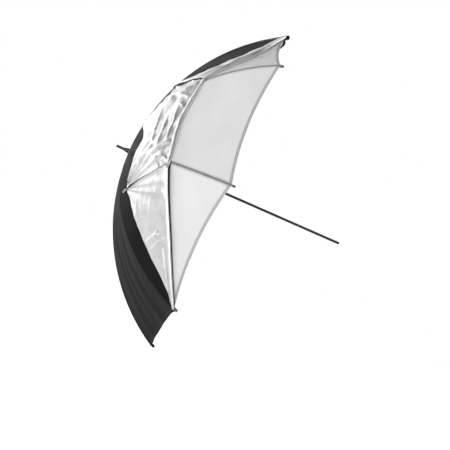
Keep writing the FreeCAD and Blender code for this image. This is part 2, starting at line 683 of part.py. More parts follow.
os.makedirs("parts", exist_ok=True)
for piece in pieces:
    if piece.Shape.isNull() or not piece.Shape.isValid() or piece.Shape.Volume <= 0:
        raise RuntimeError(f"{piece.Label} has no sound shape")
    piece.Shape.exportStep(f"parts/{piece.Label}.step")
    print(f"{piece.Label:18s} {len(piece.Shape.Solids)} solids {piece.Shape.Volume:10.1f} mm3")
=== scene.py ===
"""Umbrella reflector: cloth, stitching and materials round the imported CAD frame.

Everything is in metres, in the CAD's frame: +X runs along the shaft to its free end, the canopy
opens towards +X, rib 1 points up and rib 3 towards -Y. A place on the canopy is given by its polar
angle, from the apex about the canopy's centre of curvature, and its turn about the shaft from rib 1.
"""
import json
import math

import bpy
import numpy as np
from mathutils import Matrix, Vector, noise

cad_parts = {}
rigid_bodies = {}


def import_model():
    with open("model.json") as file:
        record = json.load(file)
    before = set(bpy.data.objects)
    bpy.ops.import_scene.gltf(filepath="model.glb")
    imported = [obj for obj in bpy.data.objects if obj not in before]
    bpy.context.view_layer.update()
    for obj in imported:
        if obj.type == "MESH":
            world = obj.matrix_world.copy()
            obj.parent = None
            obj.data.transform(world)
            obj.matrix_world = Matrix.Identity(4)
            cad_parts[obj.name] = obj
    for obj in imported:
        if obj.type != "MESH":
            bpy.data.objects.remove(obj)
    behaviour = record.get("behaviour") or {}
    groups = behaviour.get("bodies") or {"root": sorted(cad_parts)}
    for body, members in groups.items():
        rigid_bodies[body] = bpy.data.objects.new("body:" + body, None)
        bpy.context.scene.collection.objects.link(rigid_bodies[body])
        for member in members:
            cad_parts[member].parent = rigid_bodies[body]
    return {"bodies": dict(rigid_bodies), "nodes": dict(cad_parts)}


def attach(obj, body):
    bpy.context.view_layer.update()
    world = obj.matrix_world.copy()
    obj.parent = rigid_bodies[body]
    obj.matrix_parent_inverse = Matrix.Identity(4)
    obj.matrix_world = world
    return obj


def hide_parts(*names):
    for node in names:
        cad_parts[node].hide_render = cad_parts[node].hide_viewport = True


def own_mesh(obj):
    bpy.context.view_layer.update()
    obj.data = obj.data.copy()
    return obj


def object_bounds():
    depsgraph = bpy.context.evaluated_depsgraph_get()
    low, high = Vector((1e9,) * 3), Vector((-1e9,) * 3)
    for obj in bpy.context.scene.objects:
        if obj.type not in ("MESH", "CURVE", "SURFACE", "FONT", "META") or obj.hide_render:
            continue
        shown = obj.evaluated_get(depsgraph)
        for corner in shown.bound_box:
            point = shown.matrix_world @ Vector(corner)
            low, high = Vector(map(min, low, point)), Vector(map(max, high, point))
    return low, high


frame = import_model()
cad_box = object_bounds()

MM = 0.001
RIBS = 8
STEP = math.tau / RIBS
HALF = STEP / 2

# The canopy's curve, as in the CAD model, and how much the cloth sags in halfway between two ribs.
CENTRE_X = 0.020
RADIUS = 0.533
RIM = math.radians(59.7)
SAG = 5 * MM
WHITE_SCALLOP = 18 * MM     # how far the white hem curves in between two ribs
TOP_SCALLOP = 10 * MM       # and where the folded cover pulls on it, over gore 1
COVER_SCALLOP = 3 * MM      # the looser cover's hem is nearly straight
APEX_HOLE = math.radians(0.55)

# How far each layer's middle lies outside the canopy's inner face.
WHITE_LIFT = 0.35 * MM
COVER_LIFT = 1.45 * MM
CLOTH = 0.3 * MM            # drawn thickness of one layer
HEM_WIDTH = 8 * MM
HEM_START = HEM_WIDTH + 0.4 * MM
HEM_EXTRA = 0.45 * MM       # added thickness where the hem is turned in
RIB_SHADE = 9 * MM          # how far a rib's shade spreads in the white cloth
COVER_COLUMNS = 97          # grid columns of a gore of the cover that isn't folded

# Keeps a place just beside a rib, because the cloth has a ridge there and no single outward direction.
BESIDE = 1e-3
CURVE_STEPS = 24            # between two knots of a curve
NOISE_GAIN = 1.6            # brings Blender's noise to about -1 to 1


# ------------------------------------------------ the canopy's surface

def in_gore(turn):
    """A turn's angle from the middle of its gore, and its share of the gore's width."""
    local = np.mod(turn, STEP) - HALF
    return local, 0.5 + np.tan(local) / (2 * math.tan(HALF))


def turn_of(points):
    return np.mod(np.arctan2(-points[..., 1], points[..., 2]), math.tau)


def on_canopy(polar, turn, lift=0.0):
    """Points of the canopy: an arc along each rib, and nearly straight across between two ribs."""
    polar, turn, lift = np.broadcast_arrays(polar, turn, lift)
    local, share = in_gore(turn)
    sag = SAG * 4 * share * (1 - share) * np.sin(polar) ** 2
    radius = RADIUS + lift - sag
    out = radius * np.sin(polar) * math.cos(HALF) / np.cos(local)
    return np.stack([CENTRE_X - radius * np.cos(polar), -out * np.sin(turn), out * np.cos(turn)], -1)


def outward(polar, turn):
    """The direction away from the canopy's outer face."""
    here = on_canopy(polar, turn)
    down = on_canopy(np.add(polar, 1e-4), turn) - here
    across = on_canopy(polar, np.add(turn, 1e-4)) - here
    return unit(np.cross(across, down))


def unit(vectors):
    return vectors / np.maximum(np.linalg.norm(vectors, axis=-1, keepdims=True), 1e-12)


def locate(points):
    """Polar angle and turn of points near the canopy."""
    turn = turn_of(points)
    local, _ = in_gore(turn)
    out = np.hypot(points[..., 1], points[..., 2]) * np.cos(local) / math.cos(HALF)
    return np.arctan2(out, CENTRE_X - points[..., 0]), turn


def rib_turn(rib):
    return STEP * (rib - 1)


def turn_in_gore(gore, share):
    """Turn of the line that splits a gore's width at share, from 0 at its first rib to 1 at the next."""
    return STEP * (gore - 0.5) + np.arctan((2 * share - 1) * math.tan(HALF))


def rim_polar(share, scallop):
    """Polar angle of a hem that curves in by scallop between two ribs."""
    return RIM - scallop / (RADIUS * math.sin(RIM)) * 4 * share * (1 - share)


def smooth(x):
    """A smooth step from 0 to 1 as x goes from 0 to 1."""
    x = np.clip(x, 0, 1)
    return x * x * (3 - 2 * x)


def reach_along(points, axis=0):
    """Distance from the start along each line of points."""
    steps = np.linalg.norm(np.diff(points, axis=axis), axis=-1)
    return np.insert(np.cumsum(steps, axis=axis), 0, 0, axis=axis)


def grid_normals(middle):
    return unit(np.cross(np.gradient(middle, axis=1), np.gradient(middle, axis=0)))


def curve_on_canopy(knots, count):
    """Evenly spaced places on a smooth curve through a few (polar, turn) knots in degrees."""
    knots = np.radians(np.array(knots, float))
    ends = np.concatenate([[2 * knots[0] - knots[1]], knots, [2 * knots[-1] - knots[-2]]])
    fine = []
    for a, b, c, d in zip(ends, ends[1:], ends[2:], ends[3:]):
        for step in np.linspace(0, 1, CURVE_STEPS, endpoint=False):
            fine.append(0.5 * (2 * b + (c - a) * step + (2 * a - 5 * b + 4 * c - d) * step ** 2
                               + (3 * b - a - 3 * c + d) * step ** 3))
    fine = np.array(fine + [knots[-1]])
    reach = reach_along(on_canopy(fine[:, 0], fine[:, 1]))
    even = np.linspace(0, reach[-1], count)
    return np.interp(even, reach, fine[:, 0]), np.interp(even, reach, fine[:, 1])


def bumpy(points, scale, shift=0.0):
    """Smooth noise of about -1 to 1 at each point; scale is bumps per metre."""
    flat = (points * scale).reshape(-1, 3)
    values = [noise.noise(Vector(p) + Vector((shift, shift, shift))) for p in flat]
    return np.array(values).reshape(points.shape[:-1]) * NOISE_GAIN


# ------------------------------------------------ meshes

def new_object(name, vertices, faces, face_slots, materials, angle=40):
    """A smooth-shaded mesh object, sharp where faces meet at more than angle degrees."""
    mesh = bpy.data.meshes.new(name)
    mesh.from_pydata([tuple(v) for v in vertices], [], faces)
    for material in materials:
        mesh.materials.append(material)
    mesh.polygons.foreach_set("material_index", face_slots)
    mesh.polygons.foreach_set("use_smooth", [True] * len(faces))
    mesh.set_sharp_from_angle(angle=math.radians(angle))
    mesh.update()
    obj = bpy.data.objects.new(name, mesh)
    bpy.context.scene.collection.objects.link(obj)
    return obj


def add_attribute(obj, name, kind, values):
    attribute = obj.data.attributes.new(name, kind, "POINT")
    key = "vector" if kind == "FLOAT_VECTOR" else "value"
    attribute.data.foreach_set(key, np.asarray(values, np.float32).ravel())


def cloth(name, middle, materials, thickness=CLOTH, edge=None):
    """A closed thin cloth round a grid of middle points. Rows run from the apex, columns with the turn.

    materials are the outer face's and the inner face's. edge is each point's distance from the hem, which
    is turned in and so shows the outer face's material on both sides; rows given an edge of 0 elsewhere
    show the outer face too, as painted shadow.
    """
    rows, columns = middle.shape[:2]
    half = grid_normals(middle) * np.broadcast_to(thickness, (rows, columns))[..., None] / 2
    vertices = np.concatenate([(middle + half).reshape(-1, 3), (middle - half).reshape(-1, 3)])
    count = rows * columns
    faces, slots = [], []
    for i in range(rows - 1):
        for j in range(columns - 1):
            a = i * columns + j
            quad = (a, a + 1, a + columns + 1, a + columns)
            faces += [quad, tuple(v + count for v in reversed(quad))]
            shows_outer_face = edge is not None and edge[i:i + 2, j:j + 2].max() < HEM_WIDTH + 0.2 * MM
            slots += [0, 0 if shows_outer_face else 1]
    border = list(range(columns - 1))
    border += [i * columns + columns - 1 for i in range(rows - 1)]
    border += [(rows - 1) * columns + j for j in range(columns - 1, 0, -1)]
    border += [i * columns for i in range(rows - 1, 0, -1)]
    for a, b in zip(border, border[1:] + border[:1]):
        faces.append((b, a, a + count, b + count))
        slots.append(0)
    obj = new_object(name, vertices, faces, slots, materials)
    across = reach_along(middle, axis=1)
    across -= across[:, -1:] / 2
    edge = np.full((rows, columns), 1.0) if edge is None else edge
    grid = np.stack([across, reach_along(middle), edge], -1).reshape(-1, 3)
    add_attribute(obj, "cloth", "FLOAT_VECTOR", np.concatenate([grid, grid]))
    from_side = (across[:, -1:] - np.abs(across)).ravel()
    add_attribute(obj, "from_side", "FLOAT", np.concatenate([from_side, from_side]))
    return obj


def tube(name, path, radii, material, up, sides=12, flatten=1.0, loop=False):
    """A tube along a path of points, or round a closed loop of them, flattened in the up direction."""
    path = np.array(path, float)
    radii = np.broadcast_to(radii, len(path))
    ahead = unit(np.roll(path, -1, 0) - np.roll(path, 1, 0)) if loop else unit(np.gradient(path, axis=0))
    side = unit(np.cross(ahead, np.broadcast_to(up, path.shape)))
    top = np.cross(side, ahead)
    vertices, faces = [], []
    for centre, radius, a, b in zip(path, radii, side, top):
        for k in range(sides):
            turn = math.tau * k / sides
            vertices.append(centre + radius * (math.cos(turn) * a + flatten * math.sin(turn) * b))
    for i in range(len(path) if loop else len(path) - 1):
        ahead_ring = (i + 1) % len(path) * sides
        for k in range(sides):
            a, b = k, (k + 1) % sides
            faces.append((i * sides + a, i * sides + b, ahead_ring + b, ahead_ring + a))
    if not loop:
        faces.append(tuple(reversed(range(sides))))
        faces.append(tuple(range(len(vertices) - sides, len(vertices))))
    return new_object(name, vertices, faces, [0] * len(faces), [material])


def crumple(obj, scale, height):
    """Pushes a piece's surface in and out: scale in bumps per metre, height in millimetres."""
    for vertex in obj.data.vertices:
        vertex.co += vertex.normal * noise.noise(vertex.co * scale) * height * MM


def stitches(name, lines, material, pitch=4 * MM, length=2.7 * MM, width=0.28 * MM):
    """Dashes of thread along lines of points. Each line is (points, directions away from the cloth)."""
    vertices, faces = [], []
    for points, away in lines:
        reach = reach_along(points)
        for start in np.arange(pitch / 2, reach[-1] - pitch, pitch):
            ends = [np.array([np.interp(s, reach, points[:, k]) for k in range(3)])
                    for s in (start, start + length)]
            out = np.array([np.interp(start, reach, away[:, k]) for k in range(3)])
            middle = (ends[0] + ends[1]) / 2
            side = unit(np.cross(ends[1] - ends[0], out)) * width
            base = len(vertices)
            vertices += [ends[0], ends[1], middle + side, middle - side,
                         middle + out * width * 1.2, middle - out * width * 0.6]
            for a, b in ((2, 4), (4, 3), (3, 5), (5, 2)):
                faces += [(base, base + b, base + a), (base + 1, base + a, base + b)]
    return new_object(name, vertices, faces, [0] * len(faces), [material], angle=80)


# ------------------------------------------------ riding and folding

def rib_weights(points):
    """How much each point belongs to each of the eight ribs: the two beside it share it by place."""
    turn = turn_of(points)
    gore = np.floor(turn / STEP).astype(int) % RIBS
    _, share = in_gore(turn)
    weights = np.zeros((len(points), RIBS))
    rows = np.arange(len(points))
    weights[rows, gore] = 1 - share
    weights[rows, (gore + 1) % RIBS] += share
    weights[weights < 1e-3] = 0
    return weights / weights.sum(1, keepdims=True)


def follow_ribs(obj):
    """Carries each vertex with the two ribs beside it, so that cloth stays sewn to both as they fold.

    Each vertex goes to the mean of the places that its two ribs would take it to, by its share in each.
    """
    points = np.array([v.co for v in obj.data.vertices])
    weights = rib_weights(points)
    add_attribute(obj, "rest_place", "FLOAT_VECTOR", points)
    group = bpy.data.node_groups.new(obj.name + "_follow", "GeometryNodeTree")
    group.interface.new_socket("Geometry", in_out="INPUT", socket_type="NodeSocketGeometry")
    group.interface.new_socket("Geometry", in_out="OUTPUT", socket_type="NodeSocketGeometry")
    nodes, links = group.nodes, group.links
    place = nodes.new("GeometryNodeInputNamedAttribute")
    place.data_type = "FLOAT_VECTOR"
    place.inputs["Name"].default_value = "rest_place"
    total = None
    for rib in range(RIBS):
        if not weights[:, rib].any():
            continue
        name = f"rib_share_{rib + 1}"
        add_attribute(obj, name, "FLOAT", weights[:, rib])
        info = nodes.new("GeometryNodeObjectInfo")
        info.transform_space = "RELATIVE"
        info.inputs["Object"].default_value = frame["bodies"][f"rib_arm_{rib + 1}"]
        moved = nodes.new("FunctionNodeTransformPoint")
        links.new(place.outputs["Attribute"], moved.inputs["Vector"])
        links.new(info.outputs["Transform"], moved.inputs["Transform"])
        share = nodes.new("GeometryNodeInputNamedAttribute")
        share.data_type = "FLOAT"
        share.inputs["Name"].default_value = name
        scaled = nodes.new("ShaderNodeVectorMath")
        scaled.operation = "SCALE"
        links.new(moved.outputs[0], scaled.inputs[0])
        links.new(share.outputs["Attribute"], scaled.inputs["Scale"])
        if total is None:
            total = scaled
        else:
            added = nodes.new("ShaderNodeVectorMath")
            links.new(total.outputs[0], added.inputs[0])
            links.new(scaled.outputs[0], added.inputs[1])
            total = added
    source, sink = nodes.new("NodeGroupInput"), nodes.new("NodeGroupOutput")
    put = nodes.new("GeometryNodeSetPosition")
    links.new(source.outputs[0], put.inputs["Geometry"])
    links.new(total.outputs[0], put.inputs["Position"])
    links.new(put.outputs[0], sink.inputs[0])
    obj.modifiers.new("follow_ribs", "NODES").node_group = group


def ride_gore(obj, gore):
    """Cloth between two ribs: it rides its gore's body, narrows with the fold and follows both ribs."""
    follow_ribs(obj)
    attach(obj, f"gore_{gore}")
    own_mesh(obj)


def ride_rib(obj, rib):
    """A piece sewn to one rib."""
    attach(obj, f"rib_arm_{rib}")


# ------------------------------------------------ materials

# A colour mix node's sockets.
MIX_A, MIX_B, MIX_RESULT = 6, 7, 2

TRANSLUCENCY = 0.3      # of the white cloth


class Shade:
    """A node material with a Principled shader, and short ways to add to it."""

    def __init__(self, name, colour, roughness, metallic=0.0, **sockets):
        self.material = bpy.data.materials.new(name)
        self.material.use_nodes = True
        self.tree = self.material.node_tree
        self.shader = self.tree.nodes["Principled BSDF"]
        self.output = self.tree.nodes["Material Output"]
        self.shader.inputs["Base Color"].default_value = (*colour, 1)
        self.shader.inputs["Roughness"].default_value = roughness
        self.shader.inputs["Metallic"].default_value = metallic
        for key, value in sockets.items():
            self.shader.inputs[key.replace("_", " ")].default_value = value

    def node(self, kind, **settings):
        """A new node. The settings are properties of it or values of its inputs."""
        node = self.tree.nodes.new(kind)
        for key, value in settings.items():
            if hasattr(node, key):
                setattr(node, key, value)
            else:
                node.inputs[key].default_value = value
        return node

    def link(self, a, b):
        self.tree.links.new(a, b)

    def drive(self, socket, value):
        self.link(value, self.shader.inputs[socket])

    def object_place(self):
        return self.node("ShaderNodeTexCoord").outputs["Object"]

    def cloth_place(self):
        """Place on the cloth in metres: across, along and, as Z, the distance from the hem."""
        return self.node("ShaderNodeAttribute", attribute_name="cloth").outputs["Vector"]

    def noise(self, place, scale, detail=3.0, stretch=None):
        if stretch:
            mapping = self.node("ShaderNodeMapping")
            mapping.inputs["Scale"].default_value = stretch
            self.link(place, mapping.inputs["Vector"])
            place = mapping.outputs["Vector"]
        texture = self.node("ShaderNodeTexNoise", Scale=scale, Detail=detail)
        self.link(place, texture.inputs["Vector"])
        return texture.outputs["Fac"]

    def math(self, operation, a, b=0.0):
        node = self.node("ShaderNodeMath", operation=operation)
        for value, socket in zip((a, b), node.inputs):
            if isinstance(value, (int, float)):
                socket.default_value = value
            else:
                self.link(value, socket)
        return node.outputs[0]

    def between(self, value, low, high, from_low=0.35, from_high=0.65):
        """Maps value from its own range, which for noise is the default, to low and high."""
        node = self.node("ShaderNodeMapRange")
        self.link(value, node.inputs["Value"])
        for key, number in (("From Min", from_low), ("From Max", from_high),
                            ("To Min", low), ("To Max", high)):
            node.inputs[key].default_value = number
        return node.outputs["Result"]

    def ramp(self, value, *stops):
        """A colour ramp with stops of (position, colour)."""
        node = self.node("ShaderNodeValToRGB")
        points = node.color_ramp.elements
        while len(points) < len(stops):
            points.new(0.5)
        for point, (position, colour) in zip(points, stops):
            point.position = position
            point.color = (*colour, 1)
        self.link(value, node.inputs["Fac"])
        return node.outputs["Color"]

    def mix(self, factor, colour, other):
        """Colour blended towards another, fixed one."""
        node = self.node("ShaderNodeMix", data_type="RGBA")
        self.link(factor, node.inputs["Factor"])
        self.link(colour, node.inputs[MIX_A])
        node.inputs[MIX_B].default_value = (*other, 1)
        return node.outputs[MIX_RESULT]

    def bump(self, height, distance, strength=1.0, after=None):
        node = self.node("ShaderNodeBump")
        node.inputs["Distance"].default_value = distance
        node.inputs["Strength"].default_value = strength
        self.link(height, node.inputs["Height"])
        if after is not None:
            self.link(after, node.inputs["Normal"])
        return node.outputs["Normal"]

    def weave(self, place, threads):
        """Height of a plain weave with slubs, threads per metre, and the place's separate coordinates."""
        parts = self.node("ShaderNodeSeparateXYZ")
        self.link(place, parts.inputs[0])
        warp = self.math("SINE", self.math("MULTIPLY", parts.outputs["X"], threads * math.pi))
        weft = self.math("SINE", self.math("MULTIPLY", parts.outputs["Y"], threads * math.pi))
        grid = self.math("MULTIPLY", warp, weft)
        slubs = self.noise(place, threads / 9, 2.0, stretch=(1, 0.12, 0))
        return self.math("ADD", self.math("MULTIPLY", grid, 0.5), slubs), parts


def white_cloth():
    """White translucent nylon, darker over the hem and beside the ribs.

    Both are painted shade: the hem is three layers thick and lets less light through, and the dark ribs
    behind the cloth are painted as a soft shade beside each seam.
    """
    s = Shade("white_nylon", (0.8, 0.8, 0.81), 0.62, Sheen_Weight=0.25, Sheen_Roughness=0.5)
    place = s.cloth_place()
    height, parts = s.weave(place, 2600)
    patchy = s.noise(place, 9, 4.0)
    body = s.ramp(patchy, (0.3, (0.84, 0.842, 0.85)), (0.7, (0.89, 0.89, 0.895)))
    # Painted shade: the hem is painted darker, as its three layers let less light through.
    hem = s.between(parts.outputs["Z"], 1.0, 0.0, HEM_WIDTH - 0.3 * MM, HEM_WIDTH + 0.3 * MM)
    with_hem_shade = s.mix(s.math("MULTIPLY", hem, 0.9), body, (0.50, 0.505, 0.52))
    # Painted shade of the dark ribs behind the cloth, fading away from each seam.
    beside = s.node("ShaderNodeAttribute", attribute_name="from_side").outputs["Fac"]
    colour = s.mix(s.between(beside, 0.55, 0.0, 2.5 * MM, RIB_SHADE), with_hem_shade, (0.3, 0.305, 0.315))
    s.drive("Base Color", colour)
    s.drive("Roughness", s.between(patchy, 0.56, 0.7))
    wavy = s.bump(s.noise(place, 26, 3.0, stretch=(1, 0.4, 0)), 1.2 * MM, 0.5)
    s.drive("Normal", s.bump(height, 0.05 * MM, 0.6, wavy))
    through = s.node("ShaderNodeBsdfTranslucent")
    s.link(colour, through.inputs["Color"])
    both = s.node("ShaderNodeMixShader")
    both.inputs[0].default_value = TRANSLUCENCY
    s.link(s.shader.outputs[0], both.inputs[1])
    s.link(through.outputs[0], both.inputs[2])
    s.link(both.outputs[0], s.output.inputs["Surface"])
    return s.material


def shaded_seam_cloth():
    """White seam tape over a rib: several layers, painted dark grey as the shade of the dark rib behind
    them.
    """
    s = Shade("white_seam", (0.27, 0.275, 0.285), 0.6, Sheen_Weight=0.1)
    place = s.object_place()
    # Painted shade: these dark greys stand for the rib's shade through the white tape.
    colour = s.ramp(s.noise(place, 60, 4.0), (0.3, (0.17, 0.173, 0.18)), (0.72, (0.25, 0.255, 0.262)))
    s.drive("Base Color", colour)
    s.drive("Roughness", s.between(s.noise(place, 200, 2.0), 0.5, 0.72))
    s.drive("Normal", s.bump(s.noise(place, 900, 3.0), 0.15 * MM, 0.6))
    return s.material


def black_cloth():
    """The cover's outer face: dull black coated taffeta, rubbed lighter in places."""
    s = Shade("black_taffeta", (0.008, 0.008, 0.009), 0.6)
    s.shader.inputs["Specular IOR Level"].default_value = 0.08
    place = s.cloth_place()
    height, _ = s.weave(place, 2400)
    rubbed = s.noise(place, 14, 5.0, stretch=(1, 0.3, 0))
    s.drive("Base Color", s.ramp(rubbed, (0.3, (0.005, 0.005, 0.0055)), (0.75, (0.013, 0.013, 0.014))))
    s.drive("Roughness", s.between(rubbed, 0.52, 0.68))
    creased = s.bump(s.noise(place, 20, 4.0, stretch=(1.6, 0.35, 0)), 2.5 * MM, 0.5)
    s.drive("Normal", s.bump(height, 0.06 * MM, 0.7, creased))
    return s.material


def silver_cloth():
    """The cover's inner face: a silver coating over the weave, crazed by fine creases."""
    s = Shade("silver_coating", (0.8, 0.8, 0.81), 0.3, metallic=0.88)
    place = s.cloth_place()
    height, _ = s.weave(place, 2400)
    cloudy = s.noise(place, 22, 5.0)
    s.drive("Base Color", s.ramp(cloudy, (0.25, (0.68, 0.68, 0.69)), (0.7, (0.82, 0.82, 0.825))))
    s.drive("Roughness", s.between(cloudy, 0.27, 0.4))
    creased = s.bump(s.noise(place, 30, 2.5, stretch=(1, 0.45, 0)), 3.2 * MM, 0.5)
    fine = s.bump(s.noise(place, 120, 1.5), 0.4 * MM, 0.4, creased)
    s.drive("Normal", s.bump(height, 0.05 * MM, 0.5, fine))
    return s.material


def metal(name, dark, light, roughness, metallic=1.0, streaks=(1, 30, 30)):
    """Metal with fine drawn streaks along X and uneven gloss."""
    s = Shade(name, light, roughness[0], metallic)
    place = s.object_place()
    worn = s.noise(place, 55, 5.0, stretch=streaks)
    s.drive("Base Color", s.ramp(worn, (0.3, dark), (0.7, light)))
    s.drive("Roughness", s.between(s.noise(place, 140, 3.0), *roughness))
    s.drive("Normal", s.bump(worn, 0.06 * MM, 0.5))
    return s.material


def plastic(name, dark, light, roughness):
    """Moulded plastic: a fine spark-eroded grain and slight wear."""
    s = Shade(name, dark, roughness[0])
    place = s.object_place()
    worn = s.noise(place, 90, 4.0)
    s.drive("Base Color", s.ramp(worn, (0.35, dark), (0.75, light)))
    s.drive("Roughness", s.between(worn, *roughness))
    s.drive("Normal", s.bump(s.noise(place, 1600, 2.0), 0.08 * MM, 0.5))
    return s.material


def thread(name, dark, light):
    """Twisted polyester thread."""
    s = Shade(name, light, 0.55, Sheen_Weight=0.3)
    place = s.object_place()
    twist = s.noise(place, 1500, 2.0)
    s.drive("Base Color", s.ramp(twist, (0.35, dark), (0.65, light)))
    s.drive("Normal", s.bump(twist, 0.1 * MM, 0.7))
    return s.material


WHITE = white_cloth()
SHADED_SEAM = shaded_seam_cloth()
BLACK = black_cloth()
SILVER = silver_cloth()
WHITE_THREAD = thread("white_thread", (0.45, 0.45, 0.46), (0.72, 0.72, 0.73))
BLACK_THREAD = thread("black_thread", (0.02, 0.02, 0.022), (0.07, 0.07, 0.075))
GREY_ELASTIC = thread("grey_elastic", (0.25, 0.25, 0.26), (0.62, 0.62, 0.63))
DARK_STEEL = metal("black_steel", (0.012, 0.012, 0.014), (0.05, 0.05, 0.055), (0.28, 0.42), 0.6)
BRIGHT_STEEL = metal("nickel", (0.48, 0.48, 0.49), (0.68, 0.68, 0.68), (0.16, 0.32))
RIB_STEEL = metal("rib_steel", (0.30, 0.31, 0.33), (0.46, 0.47, 0.49), (0.3, 0.45))
BLACK_PLASTIC = plastic("black_plastic", (0.022, 0.022, 0.024), (0.05, 0.05, 0.052), (0.38, 0.55))
GREY_PLASTIC = plastic("grey_plastic", (0.3, 0.3, 0.31), (0.42, 0.42, 0.43), (0.35, 0.5))


def dress_cad_nodes():
    """Gives each carried-over CAD node the material of its kind."""
    kinds = {
        "shaft_tube": DARK_STEEL, "shaft_end_plugs": BLACK_PLASTIC, "stop_ring": BRIGHT_STEEL,
        "crown_hub": BLACK_PLASTIC, "crown_wire": BRIGHT_STEEL, "crown_pin": BRIGHT_STEEL,
        "apex_washer": GREY_PLASTIC, "top_ferrule": DARK_STEEL, "catch_spring": BRIGHT_STEEL,
        "runner_body": BLACK_PLASTIC, "runner_sleeve": BRIGHT_STEEL, "runner_wire": BRIGHT_STEEL,
        "rib_tip": DARK_STEEL, "rib": RIB_STEEL, "joint_rivet": BRIGHT_STEEL, "stretcher": RIB_STEEL,
    }
    for name, node in frame["nodes"].items():
        kind = name.rstrip("0123456789").rstrip("_")
        if kind in kinds:
            node.data.materials.clear()
            node.data.materials.append(kinds[kind])


# ------------------------------------------------ the white canopy

SEAM_ROWS = 60

# Each sheet by layer and gore: the piece, how it is held, what it rests on and what is sewn to it.
sheets = {}


def sew_on(layer, gore, piece):
    """Counts a piece as sewn to a sheet."""
    sheets[layer, gore][-1].append(piece)


def rows_to_hem(length, inner_rows):
    """Shares of the way from the apex to the hem: even rows, then rows close together over the hem."""
    hem = [length - d for d in (HEM_START, HEM_WIDTH, HEM_WIDTH / 2, 0)]
    return np.concatenate([np.linspace(0, hem[0], inner_rows, endpoint=False), hem]) / length


def gore_grid(gore, lift, scallop, inner_rows=46, columns=65, wrinkles=None, stands_out=None):
    """Middle points of a whole gore, and each one's distance from the hem."""
    share = np.linspace(0, 1, columns)
    reach = rows_to_hem(RADIUS * RIM, inner_rows)[:, None]
    hem = rim_polar(share, scallop)[None, :]
    if stands_out is not None:
        hem = hem + stands_out[None, :] / RADIUS
    polar = APEX_HOLE + (hem - APEX_HOLE) * reach
    turn = np.broadcast_to(turn_in_gore(gore, share)[None, :], polar.shape)
    lift = np.full(polar.shape, lift)
    if wrinkles is not None:
        lift = lift + wrinkles(polar, np.broadcast_to(share, polar.shape))
    return on_canopy(polar, np.mod(turn, math.tau), lift), RADIUS * (hem - polar)


def hem_thickness(edge):
    """Thickness of a gore's cloth, with its turned-in hem."""
    return CLOTH + HEM_EXTRA * (edge < HEM_WIDTH + 0.1 * MM)


def hem_stitch_line(middle, edge):
    """The line of stitches that holds a hem, on the outer side of a grid."""
    row = int(np.argmin(np.abs(edge[:, edge.shape[1] // 2] - HEM_WIDTH * 0.9)))
    normal = grid_normals(middle)
    return middle[row] + normal[row] * (CLOTH + HEM_EXTRA) * 0.55, normal[row]


def white_wrinkles(polar, share):
    """Slight tension lines between the ribs, strongest towards the hem."""
    near = smooth((polar - 0.25) / 0.8)
    return 0.25 * MM * near * np.sin(share * math.pi) * np.sin(share * 21 + polar * 5)


def seam_strip(name, rib, lift, half_width, materials, start=0.02, end=RIM, crown=0.5 * MM):
    """Tape over the seam along a rib, thickest in its middle, and the row of stitches on each side of it.

    materials are the tape's and the thread's. The tape drops on both sides with the two gores, narrows
    towards the apex, and is stitched from a little way out.
    """
    polar = np.linspace(start, end, SEAM_ROWS)
    turn = np.full(SEAM_ROWS, rib_turn(rib))
    side = np.array([0, -math.cos(rib_turn(rib)), -math.sin(rib_turn(rib))])
    across = np.array([-1, -0.82, -0.4, 0, 0.4, 0.82, 1]) * half_width
    rise = crown * (1 - (across / half_width) ** 2) - np.abs(across) * math.tan(HALF) * 0.75
    normal = outward(polar, turn + BESIDE)
    width = np.clip(polar / 0.12, 0.25, 1)[:, None, None]
    flat = on_canopy(polar, turn, lift)[:, None] + (side * across[:, None])[None] * width
    middle = flat + normal[:, None] * rise[:, None] * width
    sewn_from = SEAM_ROWS // 10
    rows = [(middle[sewn_from:, column] + normal[sewn_from:] * 0.25 * MM, normal[sewn_from:])
            for column in (1, -2)]
    tape = cloth(name, middle, (materials[0], materials[0]), 0.35 * MM)
    sewn = stitches(f"{name}_stitches", rows, materials[1])
    follow_ribs(tape)
    follow_ribs(sewn)
    return tape, sewn


def white_canopy():
    for gore in range(1, RIBS + 1):
        scallop = TOP_SCALLOP if gore == 1 else WHITE_SCALLOP
        middle, edge = gore_grid(gore, WHITE_LIFT, scallop, wrinkles=white_wrinkles)
        piece = cloth(f"white_gore_{gore}", middle, (WHITE, WHITE), hem_thickness(edge), edge)
        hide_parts(f"canopy_gore_{gore}")
        ride_gore(piece, gore)
        sewn = stitches(f"white_hem_stitches_{gore}", [hem_stitch_line(middle, edge)], WHITE_THREAD)
        ride_gore(sewn, gore)
        tape, rows = seam_strip(f"white_seam_{gore}", gore, WHITE_LIFT + 0.3 * MM, 2.7 * MM,
                                (SHADED_SEAM, WHITE_THREAD), crown=0.25 * MM)
        ride_rib(tape, gore)
        ride_rib(rows, gore)
        ribs = [f"rib_{gore}", f"rib_{gore % RIBS + 1}"]
        sheets["white", gore] = (piece, "stretched", ribs, [sewn, tape, rows])


# ------------------------------------------------ the black and silver cover

# Knots of the fold and of the hem that lies back on the cover, as (polar, turn) in degrees.
UPPER_CORNER = (24.0, 5.0)
LOWER_CORNER = (22.0, 123.0)
FOLDS = {
    1: ((60.0, 1.5), (51.8, 27.5), (38.0, 45.0)),
    2: ((38.0, 45.0), (36.0, 67.0), (38.4, 90.0)),
    3: ((38.4, 90.0), (44.0, 104.0), (53.3, 123.0), (60.0, 134.5)),
}
HEMS = {
    1: ((59.0, 2.4), (53.4, 9.4), (43.5, 21.5), (36.0, 24.0), UPPER_CORNER),
    2: (UPPER_CORNER, (23.8, 21.0), (19.6, 28.0), (14.0, 25.0), (11.4, 32.0), (12.2, 51.0), (17.4, 76.0),
        (17.6, 103.0), LOWER_CORNER),
    3: (LOWER_CORNER, (28.0, 124.3), (38.6, 127.8), (48.2, 130.4), (59.6, 134.6)),
}
